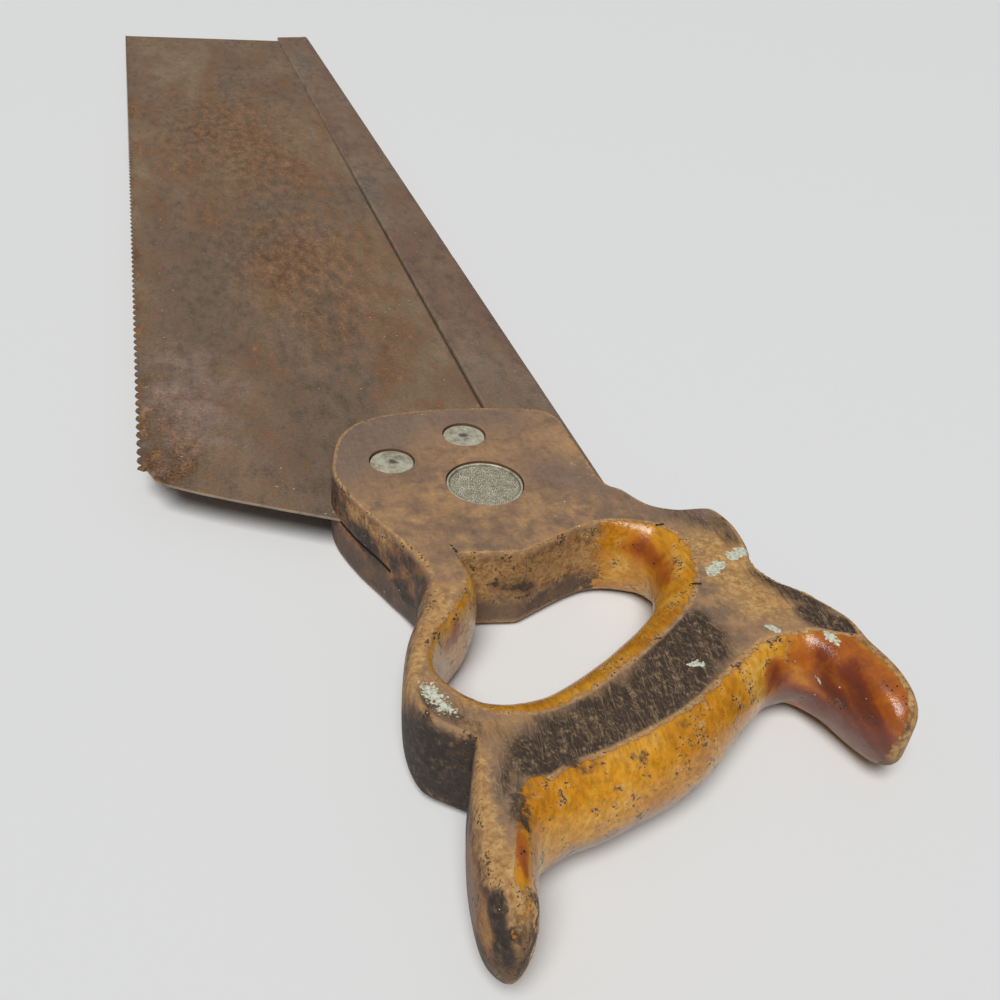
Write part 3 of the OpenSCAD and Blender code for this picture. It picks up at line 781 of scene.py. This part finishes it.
def old_applewood():
    """Applewood, rasped, scraped and brush varnished long ago: bare grey-brown flats, worn to
    tan at the edges, amber varnish on the rounds, and black grime where the palm rests."""
    material, node = new_material("worn_varnished_applewood")
    where = node("TexCoord").outputs["Object"]
    past, varnish, grime, haze, soot, worn, pale, red, coated, bared, paint, cracks = [
        node("Attribute", attribute_name=name).outputs["Fac"]
        for name in ("past_edge", "varnish", *STROKES)]

    # Clouds 20 mm across, blotches 5 mm, flakes 2 mm, pores 0.7 mm, and fibres along the saw
    cloud = node("TexNoise", where, 45.0, 5.0, 0.6)
    blotch = node("TexNoise", where, 190.0, 6.0, 0.65, named={"Distortion": 0.15})
    flake = node("TexNoise", where, 520.0, 6.0, 0.74, named={"Distortion": 0.1})
    fine = node("TexNoise", where, 1300.0, 3.0, 0.6)
    drawn = node("Mapping", where, named={"Scale": (800.0, 90.0, 800.0)})
    grain = node("TexNoise", drawn, 1.0, 5.0, 0.65)
    jagged = node("Math", blotch, flake)

    # Bare wood, mottled and hazed over by handling
    clouded = node("Mix", 0.5, cloud, blotch)
    bare = node("ValToRGB", clouded, stops=[
        (0.4, "#79624f"), (0.47, "#8b6d53"), (0.53, "#9a7857"), (0.61, "#a8845f")])
    bare = laid(node, bare, "#715f56", haze, clouded, 0.6, 1.1, 0.8)
    fibres = node("MapRange", grain, 0.3, 0.65, 0.9, 1.05)
    freckles = node("MapRange", flake, 0.35, 0.65, 1.12, 0.86)
    fibres = node("Math", fibres, freckles, operation="MULTIPLY")
    base = node("VectorMath", bare, fibres, operation="SCALE")
    # The walls are stained unevenly, from near black to orange-tan, and duller low down
    stain = node("TexNoise", where, 130.0, 9.0, 0.74, named={"Distortion": 0.1})
    stained = node("ValToRGB", stain, stops=[
        (0.36, "#261d18"), (0.44, "#413127"), (0.5, "#5f4430"), (0.56, "#845730"),
        (0.64, "#9c7340")])
    height = node("SeparateXYZ", where).outputs["Z"]
    low_down = node("MapRange", height, (half - 1) * MM, (half - 4) * MM, 0.0, 0.7)
    stained = node("Mix", low_down, stained, "#5b4a3e", data_type="RGBA")
    on_wall = node("MapRange", past, 1.6, 3.4)
    base = node("Mix", on_wall, base, stained, data_type="RGBA")
    # Tan wood where it is worn, and in a thin line all along the edges
    past_foot = node("MapRange", past, -0.9, 0.2)
    short_of_wall = node("MapRange", past, 2.2, 1.2, 0.0, 0.52)
    line = node("Math", past_foot, short_of_wall, operation="MULTIPLY")
    rubbed = node("Math", line, worn, operation="MAXIMUM")
    tan = node("ValToRGB", flake, stops=[(0.36, "#8a6238"), (0.5, "#b38750"), (0.64, "#cba76e")])
    base = laid(node, base, tan, rubbed, jagged, 1.25, 1.7, 0.9)

    # Amber varnish on the rounds, with a torn edge, turned red in places and flaking in others
    torn = node("MapRange", jagged, 0.7, 1.3, 0.0, 2.4)
    rounded = seen(node, node("Math", past, torn, operation="SUBTRACT"),
                   node("Math", coated, 10.0, operation="MULTIPLY"), 0.0, 0.3)
    flaking = node("MapRange", jagged, 0.75, 1.25, 0.1, 0.8)
    kept = seen(node, node("Math", varnish, flaking, operation="SUBTRACT"), coated, 0.0, 0.1)
    varnished = node("Math", rounded, kept, operation="MULTIPLY")
    rubbed_off = seen(node, bared, node("Math", jagged, 0.25, operation="MULTIPLY"), 0.66, 0.62)
    varnished = node("Math", varnished, rubbed_off, operation="MULTIPLY")
    amber = node("ValToRGB", node("Mix", 0.6, clouded, cloud), stops=[
        (0.38, "#b37318"), (0.46, "#c0811b"), (0.53, "#cc9028"), (0.61, "#dcb05a")])
    flaked = node("MapRange", jagged, 1.07, 1.12, 0.0, 0.55)
    amber = node("Mix", flaked, amber, "#c9a067", data_type="RGBA")
    streaks = node("MapRange", grain, 0.35, 0.6, 0.7, 1.12)
    amber = node("VectorMath", amber, streaks, operation="SCALE")
    lip = node("MapRange", past, 3.4, 1.4, 0.0, 0.2)
    redness = node("Math", red, lip, operation="MAXIMUM")
    redness = node("Math", redness, node("MapRange", clouded, 0.35, 0.65, -0.18, 0.18))
    reds = node("ValToRGB", redness, stops=[
        (0.2, "#bd771e"), (0.4, "#a1581f"), (0.6, "#77391f"), (0.82, "#5d3128")])
    turned_red = node("MapRange", redness, 0.12, 0.35)
    amber = node("Mix", turned_red, amber, reds, data_type="RGBA")
    base = node("Mix", varnished, base, amber, data_type="RGBA")
    # Greyish low down on the rounds: partly worn smooth, partly a painted reflection of the pale
    # floor
    dull = node("Mix", red, "#8f7765", "#7c4f3f", data_type="RGBA")
    base = laid(node, base, dull, pale, jagged, 1.1, 1.5, 0.85)

    # Grime on the flats, and the fine scratches that show pale in it
    rough_patches = node("Math", node("Math", jagged, grain), cloud)
    rough_patches = node("Math", rough_patches, 0.55, operation="MULTIPLY")
    soiled = seen(node, rough_patches, grime, 1.28, 1.6, 0.95)
    on_flat = node("MapRange", past, 0.3, -0.5)
    soiled = node("Math", soiled, on_flat, operation="MULTIPLY")
    dark = seen(node, soot, jagged, 1.22, 1.42, 0.92)
    dark = node("Math", dark, soiled, operation="MAXIMUM")
    wiped = scratches(node, where, 8, 0.9, 7, 0.09)
    wiped = node("Math", wiped, on_flat, operation="MULTIPLY")
    wiped = node("Math", wiped, 0.07, operation="MULTIPLY")
    black = node("ValToRGB", node("Math", wiped, flake), stops=[
        (0.36, "#1d1511"), (0.52, "#30251e"), (0.61, "#514130"), (0.7, "#857052")])
    base = node("Mix", dark, base, black, data_type="RGBA")
    lines = node("Math", scratches(node, where, 8, 1.4, 16, 0.012),
                 scratches(node, where, -24, 1.9, 12, 0.009), operation="MAXIMUM")
    in_grime = node("MapRange", grime, -0.1, 0.4, 0.0, 0.4)
    in_grime = node("Math", in_grime, on_flat, operation="MULTIPLY")
    lines = node("Math", lines, in_grime, operation="MULTIPLY")
    base = node("Mix", lines, base, "#ac8d68", data_type="RGBA")

    # Black specks, cracks, and splashes of pale paint
    chipped = seen(node, node("Math", flake, fine), blotch, 1.67, 1.74, 0.85)
    chipped = node("Math", chipped, past_foot, operation="MULTIPLY")
    sound = node("MapRange", red, 0.1, 0.3, 1.0, 0.1)
    chipped = node("Math", chipped, sound, operation="MULTIPLY")
    ragged = node("Math", node("TexVoronoi", where, 900.0), fine)
    dots = node("Math", ragged, 0.72, operation="LESS_THAN")
    crowded = node("Math", blotch, 0.6, operation="GREATER_THAN")
    dots = node("Math", dots, crowded, operation="MULTIPLY")
    dots = node("Math", dots, past_foot, operation="MULTIPLY")
    split = seen(node, cracks, fine, 1.2, 1.3)
    pitted = node("Math", dots, split, operation="MAXIMUM")
    pitted = node("Math", pitted, chipped, operation="MAXIMUM")
    base = node("Mix", pitted, base, "#2a1c13", data_type="RGBA")
    splash = seen(node, paint, node("Math", jagged, fine), 1.88, 1.96)
    splash = node("Math", splash, specks(node, where, 380.0, 0.09, 0.95), operation="MAXIMUM")
    white = node("ValToRGB", fine, stops=[(0.36, "#9c9d85"), (0.5, "#bcbfab"), (0.62, "#d0d0c3")])
    base = node("Mix", splash, base, white, data_type="RGBA")

    glossy = node("MapRange", blotch, 0.3, 0.7, 0.13, 0.28)
    covered = node("Math", varnished, dark, operation="SUBTRACT")
    rough = node("Mix", covered, 0.72, glossy)
    relief = node("Math", node("Math", fine, grain), varnished)
    relief = node("Math", relief, pitted, operation="SUBTRACT")
    surfaced(node, base, 0.0, rough, relief, 0.0001)
    return material


def even(name, hex_value, roughness):
    """A material of one colour, for what the eye sees only in the shade or past the saw."""
    material, node = new_material(name)
    node("OutputMaterial", node("BsdfPrincipled", named={
        "Base Color": hex_value, "Roughness": roughness}))
    return material


applewood = old_applewood()
# The saw cut is painted near black, which is painted shade for the deep narrow slot, and the
# screws' seats are brown with old oil
sawn_wood = even("sawn_applewood_painted_shade", "#2c211b", 0.9)
bored_wood = even("oily_bored_applewood", "#6b4b33", 0.8)
handle.data.materials.append(applewood)
KERF = 1.2
KERF_END = 20.0
MORTISE_END = 7.0
HEAD_RECESS = 0.5
HEAD_THICK = 2.2
SMALL_HEAD = 12.9
MEDALLION_HEAD = 22.3
MEDALLION_NUT = 16.0
PLAY = 0.3
seat = half - (HEAD_RECESS + HEAD_THICK)
cut(handle, *box_cutter((-80, -KERF_END, -KERF / 2), (back_x + 0.2, 90, KERF / 2)), sawn_wood)
cut(handle, *box_cutter((tail_x, -MORTISE_END, -FOLD_THICK / 2 - 0.1),
                        (90, 90, FOLD_THICK / 2 + 0.1)), sawn_wood)
for (centre, bore), head, nut in zip(bores, (SMALL_HEAD, SMALL_HEAD, MEDALLION_HEAD),
                                     (SMALL_HEAD, SMALL_HEAD, MEDALLION_NUT)):
    top, under = head / 2 + PLAY, nut / 2 + PLAY
    cut(handle, *turned([(0, -half - 1), (under, -half - 1), (under, -seat), (bore / 2, -seat),
                         (bore / 2, seat), (top, seat), (top, half + 1), (0, half + 1)], 96,
                        centre), bored_wood)
sealed(handle)

# The cuts have made new points, so every point gets its marks here from those nearest to it
tree_of_points = KDTree(len(dented))
for i, p in enumerate(placed(dented)):
    tree_of_points.insert(p, i)
tree_of_points.balance()
places = np.empty(len(handle.data.vertices) * 3)
handle.data.vertices.foreach_get("co", places)
places = places.reshape(-1, 3)
old_marks = rings[..., 3:].reshape(-1, 2)
marks = np.zeros((len(places), 2))
for i, p in enumerate(places):
    found = tree_of_points.find_n(p, 3)
    weights = np.array([1 / (away + 1e-7) for _, _, away in found])
    marks[i] = weights @ old_marks[[k for _, k, _ in found]] / weights.sum()
mark(handle, "past_edge", marks[:, 0])
mark(handle, "varnish", marks[:, 1])
places = (places - placed([(0, 0, 0)])) / MM
# Most strokes have ragged edges, from a noise that gets its seed here
RAGGED = 1.4
noise.seed_set(7)
shaken = places + [np.array(noise.noise_vector(Vector(p) / 5)) * RAGGED for p in places]
for name, strokes in STROKES.items():
    clean = name in ("paint", "cracks", "bared")
    mark(handle, name, brushed(strokes, places if clean else shaken))
finished(handle, applewood, "handle")

# SAW SCREWS
# Turned brass, nickel plated. The domed head has a square neck that bites into the wood, and
# its thread runs down into a split nut on the other side.
SMALL_THREAD = 4.6
MEDALLION_THREAD = 6.0
NECK_EXTRA = 3.2
NECK_FOOT = 1.5
THREAD_FOOT = 2.0
THREAD_TOP = 2.0
RISE = 0.3
ROUND = 0.35
SLOT_WIDTH = 1.5
SLOT_BED = 1.7


def domed_head(diameter):
    """Profile of a slightly domed disc with a rounded edge, standing on the seat."""
    r = diameter / 2
    inner_r = r - ROUND
    edge, rim = seat + HEAD_THICK - 0.45, seat + HEAD_THICK - 0.1
    return [
        (0, seat), (r - 0.1, seat), (r, seat + 0.1), (r, edge),
        *[(r - ROUND * (1 - math.cos(a)), edge + ROUND * math.sin(a)) for a in (0.5, 1.0, 1.57)],
        *[(inner_r * f, rim + RISE * (1 - f * f)) for f in (0.85, 0.7, 0.55, 0.4, 0.25, 0.1)],
        (0, rim + RISE),
    ]


def old_nickel(name, stops, roughness):
    """Nickel plate on brass, dulled and greened by age in clouds 2.5 mm across, with a grain
    of 0.4 mm, and dark in the middle where it is worn through."""
    material, node = new_material(name)
    where = node("TexCoord").outputs["Object"]
    cloud = node("TexNoise", where, 380.0, 6.0, 0.65)
    fine = node("TexNoise", where, 2600.0, 3.0)
    speckle = node("MapRange", fine, 0.3, 0.7, 0.85, 1.15)
    skin = node("VectorMath", node("ValToRGB", cloud, stops=stops), speckle, operation="SCALE")
    middle = node("Attribute", attribute_name="middle").outputs["Fac"]
    skin = laid(node, skin, "#3d3b33", middle, cloud, 1.22, 1.4, 0.85)
    surfaced(node, skin, 0.3, roughness, fine, 0.00004)
    return material


nickel = old_nickel("dulled_nickel_plate",
                    [(0.32, "#8d8875"), (0.5, "#b9b4a0"), (0.68, "#cfcab6")], 0.5)


def screw(name, head, sides, thread, centre):
    """A screw's head, square neck and thread as closed solids that overlap a little."""
    neck = (thread + NECK_EXTRA) / math.sqrt(2) / 2
    x, y = centre
    points, faces = [], []
    for solid_points, solid_faces in [
            turned(head, sides, centre),
            box_cutter((x - neck, y - neck, NECK_FOOT), (x + neck, y + neck, seat + 0.1)),
            peg(thread, THREAD_FOOT - half, THREAD_TOP, 32, centre)]:
        faces += [tuple(i + len(points) for i in face) for face in solid_faces]
        points += solid_points
    return new_piece(name, points, faces), points


for k, centre in enumerate(SMALL_AT):
    piece, points = screw(f"small_screw_{k + 1}", domed_head(SMALL_HEAD), 72, SMALL_THREAD, centre)
    mark(piece, "middle", [1 - math.dist(p[:2], centre) / SMALL_HEAD * 2 for p in points])
    finished(piece, nickel, "small_screws")


def split_nut(name, nut, thread, centre, turn, cad_node):
    """A flanged nut with a barrel, a bore and a screwdriver slot across its face."""
    barrel = (thread + NECK_EXTRA) / 2
    dome = [(r, -z) for r, z in domed_head(nut)]
    points, faces = turned([(0, 1), (barrel, 1), (barrel, -seat), *dome[1:]], 72, centre)
    piece = new_piece(name, points, [face[::-1] for face in faces])
    slot, slot_faces = box_cutter((-nut, -SLOT_WIDTH / 2, -half - 1),
                                  (nut, SLOT_WIDTH / 2, SLOT_BED - half))
    rotate = Matrix.Rotation(math.radians(turn), 3, "Z")
    cut(piece, [rotate @ Vector(p) + Vector((*centre, 0)) for p in slot], slot_faces)
    cut(piece, *peg(thread + 0.2, -half - 1, 3, 48, centre))
    finished(piece, nickel, cad_node)


for k, centre in enumerate(SMALL_AT):
    split_nut(f"small_nut_{k + 1}", SMALL_HEAD, SMALL_THREAD, centre, 35 + 70 * k, "small_nuts")
split_nut("medallion_nut_split", MEDALLION_NUT, MEDALLION_THREAD, (0, 0), 80, "medallion_nut")

# MEDALLION SCREW
# The same screw with a cupped head: a thin turned rim round a sunk seat.
RIM_WALL = 0.7
CUP_DEPTH = 1.2
rim = MEDALLION_HEAD / 2
cup = rim - RIM_WALL
top = half - HEAD_RECESS
floor_z = top - CUP_DEPTH
cupped = [(0, seat), (rim - 0.1, seat), (rim, seat + 0.1), (rim, top - 0.25),
          (rim - 0.08, top - 0.07), (rim - 0.25, top), (cup + 0.15, top), (cup, top - 0.12),
          (cup, floor_z), (0, floor_z)]
piece, points = screw("medallion_screw_head", cupped, 128, MEDALLION_THREAD, (0, 0))
finished(piece, nickel, "medallion_screw")

# MEDALLION
# A stamped disc pressed into the head, plain here. A century of wear and corrosion has left
# its face a crust of fine grains.
GRAIN_SIZE = 0.2
disc_r = cup - 0.1
face_z = floor_z + 0.6
disc_profile = [(0, floor_z), (disc_r, floor_z), (disc_r, face_z - 0.1), (disc_r - 0.1, face_z),
                (disc_r - 0.8, face_z + 0.02), (disc_r - 4, face_z + 0.04), (0, face_z + 0.05)]
medallion = new_piece("medallion_face", *turned(disc_profile, 128))
dull = old_nickel("dirt_in_the_stamping",
                  [(0.3, "#726d5e"), (0.5, "#8a8472"), (0.7, "#9b9685")], 0.7)
medal = old_nickel("worn_stamped_nickel",
                   [(0.3, "#a5a08e"), (0.5, "#bcb7a5"), (0.7, "#cfcaba")], 0.5)
finished(medallion, dull, "medallion_disc")

grain = bpy.data.objects.new("grain", bpy.data.meshes.new("grain"))
shape = bmesh.new()
bmesh.ops.create_icosphere(shape, subdivisions=1, radius=GRAIN_SIZE * MM)
shape.to_mesh(grain.data)
shape.free()

crust, node, given = new_tree("crust_of_grains", {
    "Face radius": "Float", "Face centre": "Vector", "Grain": "Object",
    "Grains per area": "Float", "Seed": "Int", "Metal": "Material"})
disc = node("GeometryNodeMeshCircle", 64, given["Face radius"], fill_type="NGON")
disc = node("GeometryNodeTransform", named={
    "Geometry": disc, "Translation": given["Face centre"]})
spread = node("GeometryNodeDistributePointsOnFaces", distribute_method="POISSON", named={
    "Mesh": disc, "Distance Min": 0.0003, "Density Max": given["Grains per area"],
    "Seed": given["Seed"]})
sizes = node("FunctionNodeRandomValue", data_type="FLOAT", named={
    "Min": 0.6, "Max": 1.25, "Seed": given["Seed"]})
flat_sizes = node("CombineXYZ", sizes, sizes, 0.8)
turns = node("FunctionNodeRandomValue", data_type="FLOAT_VECTOR", named={
    "Min": (0.0, 0.0, 0.0), "Max": (0.0, 0.0, 6.28), "Seed": given["Seed"]})
crumbs = node("GeometryNodeObjectInfo", given["Grain"])
set_down = node("GeometryNodeInstanceOnPoints", named={
    "Points": spread, "Instance": crumbs.outputs["Geometry"], "Rotation": turns,
    "Scale": flat_sizes})
solid = node("GeometryNodeRealizeInstances", set_down)
painted = node("GeometryNodeSetMaterial", named={"Geometry": solid, "Material": given["Metal"]})
node("NodeGroupOutput", painted)
grains = grown("medallion_crust", crust, {
    "Face radius": (disc_r - 0.5) * MM, "Face centre": placed((0, 0, face_z + 0.06)).tolist(),
    "Grain": grain, "Grains per area": 9.0e6, "Seed": 7, "Metal": medal,
})
bpy.data.objects.remove(grain)
finished(grains, medal, "medallion_disc")

# STAGE
# A plain pale sweep under soft window light. The saw rests on the toe of its back and the
# front of the handle's cheek, so the floor leans a little under it.
REST_AT = (44, -half)
TOE_AT = (back_toe, -FOLD_THICK / 2)
SWEEP = 4000
slope = (TOE_AT[1] - REST_AT[1]) / (TOE_AT[0] - REST_AT[0])
corners = [(-SWEEP, -SWEEP), (SWEEP, -SWEEP), (SWEEP, SWEEP), (-SWEEP, SWEEP)]
floor = new_piece("floor", [(x, y, REST_AT[1] + slope * (y - REST_AT[0])) for x, y in corners],
                  [(0, 1, 2, 3)])
floor.data.materials.append(even("pale_paper_sweep", "#d9dadb", 0.9))

# The room's own light, brighter from above than from the sides
world = bpy.data.worlds.new("studio")
world.use_nodes = True
world.node_tree.nodes.clear()
node = partial(add, world.node_tree)
up = node("SeparateXYZ", node("TexCoord")).outputs["Z"]
node("OutputWorld", node("Background", "#edf1f8", node("MapRange", up, 0.0, 1.0, 0.03, 0.25)))
bpy.context.scene.world = world

# One soft light from behind the camera's left shoulder, as wide as a big window
light = bpy.data.lights.new("window_light", "SUN")
light.energy, light.angle, light.color = 3.1, math.radians(32), colour("#fffefb")[:3]
lamp = shown("window_light", light)
lamp.rotation_euler = Vector((-0.26, -0.42, 0.87)).to_track_quat("Z", "Y").to_euler()

# CAMERA
# Where the photograph was taken from, worked out from the saw's straight edges and the round
# screw heads.
CAMERA_AT = (-81.08, -231.88, 175.6)
LOOK_RIGHT = 20.4
LOOK_DOWN = 34.47
ROLL = 6.16
camera = shown("camera", bpy.data.cameras.new("camera"))
camera.data.lens = 36.72
camera.data.sensor_width = 36
camera.data.clip_start = 0.01
camera.data.clip_end = 20
turn = (Matrix.Rotation(math.radians(-LOOK_RIGHT), 4, "Z")
        @ Matrix.Rotation(math.radians(90 - LOOK_DOWN), 4, "X")
        @ Matrix.Rotation(math.radians(ROLL), 4, "Z"))
camera.matrix_world = Matrix.Translation(placed(CAMERA_AT)) @ turn
bpy.context.scene.camera = camera
bpy.context.scene.view_settings.view_transform = "Standard"
